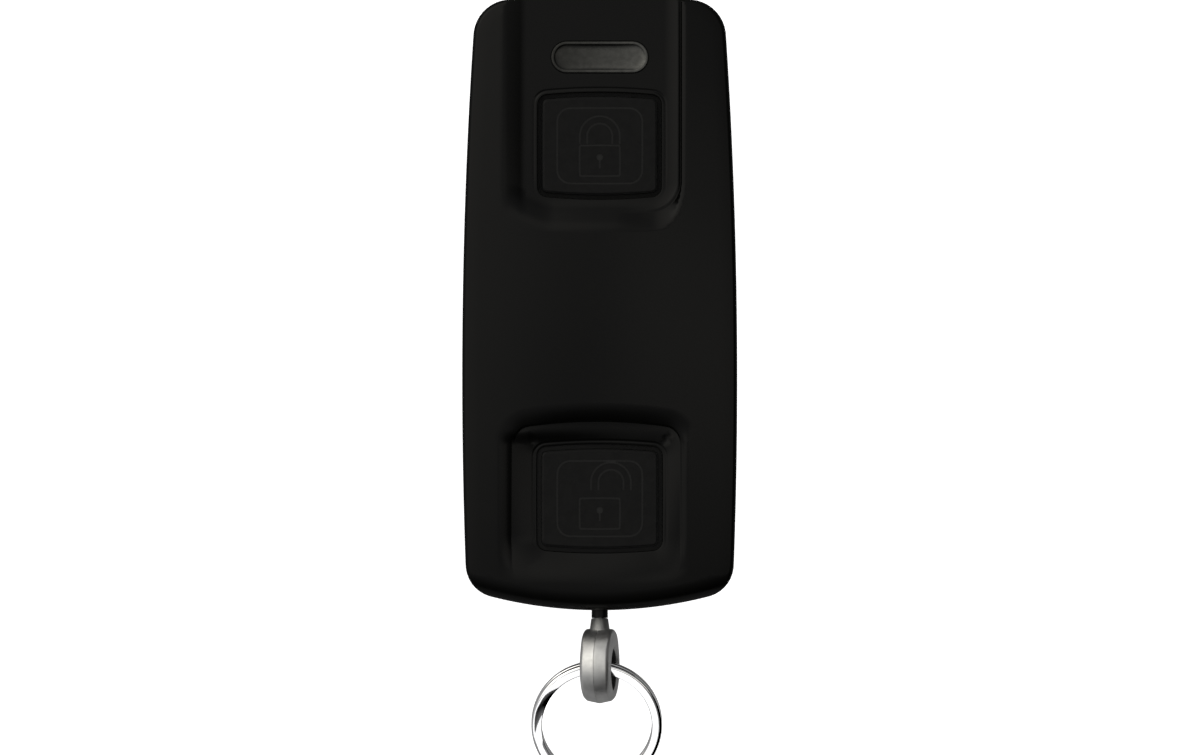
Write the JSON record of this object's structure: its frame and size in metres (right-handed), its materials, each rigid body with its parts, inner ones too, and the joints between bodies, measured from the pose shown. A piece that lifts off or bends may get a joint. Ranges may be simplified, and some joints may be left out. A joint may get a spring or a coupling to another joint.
{
  "type": "smart lock remote",
  "caption": "Flat handheld remote with two padlock push buttons in sunken trays, a bare metal badge, a sliding battery door and a swivelling eye with a split key ring.",
  "frame": {"origin": "middle of the flat back, on which the remote rests", "axes": "+Z out of the front, +Y along the housing towards the badge, +X to the right of the front"},
  "size_m": [0.0368, 0.1064, 0.015],
  "materials": {
    "housing": "fine satin grain",
    "button": "fine matt grain, engraved lines",
    "badge": "satin metal",
    "seal": "soft",
    "board": "green solder mask",
    "switch": "moulded",
    "plunger": "moulded",
    "capacitor": "plain",
    "shield": "plain",
    "track": "plain",
    "cell": "satin",
    "holder": "moulded",
    "contact": "plated",
    "bush": "smooth",
    "eye": "satin plated casting",
    "ring": "polished",
    "screw": "plain"
  },
  "bodies": {
    "housing": {"front_shell": "housing", "rear_shell": "housing", "badge_plate": "badge", "housing_seal": "seal", "cell_gasket": "seal", "circuit_board": "board", "lock_switch": "switch", "unlock_switch": "switch", "controller_chip": "switch", "capacitor_1": "capacitor", "capacitor_2": "capacitor", "capacitor_3": "capacitor", "radio_shield": "shield", "crystal": "shield", "antenna": "track", "cell_can": "cell", "cell_cap": "cell", "cell_holder": "holder", "positive_contact": "contact", "negative_contact": "contact", "swivel_bush": "bush", "housing_screw_1": "screw", "housing_screw_2": "screw", "housing_screw_3": "screw", "housing_screw_4": "screw", "board_screw_1": "screw", "board_screw_2": "screw"},
    "battery_door": {"battery_door": "housing"},
    "lock_key": {"lock_button": "button", "lock_plunger": "plunger"},
    "unlock_key": {"unlock_button": "button", "unlock_plunger": "plunger"},
    "swivel": {"swivel_eye": "eye", "swivel_pin": "eye"},
    "key_ring": {"split_ring": "ring"}
  },
  "joints": [
    {"name": "lock_press", "type": "slide", "parent": "housing", "child": "lock_key", "axis": [0, 0, -1], "range_m": [0, 0.00035], "stiffness_N_per_m": 2000, "springref_m": -0.0003},
    {"name": "unlock_press", "type": "slide", "parent": "housing", "child": "unlock_key", "axis": [0, 0, -1], "range_m": [0, 0.00035], "stiffness_N_per_m": 2000, "springref_m": -0.0003},
    {"name": "door_slide", "type": "slide", "parent": "housing", "child": "battery_door", "axis": [0, 1, 0], "range_m": [0, 0.03]},
    {"name": "eye_turn", "type": "hinge", "parent": "housing", "child": "swivel", "pos_m": [0, -0.0425, 0.0073], "axis": [0, 1, 0], "continuous": true},
    {"name": "ring_swing", "type": "hinge", "parent": "swivel", "child": "key_ring", "pos_m": [0, -0.04895, 0.00588], "axis": [1, 0, 0], "range_deg": [-125, 88]}
  ]
}
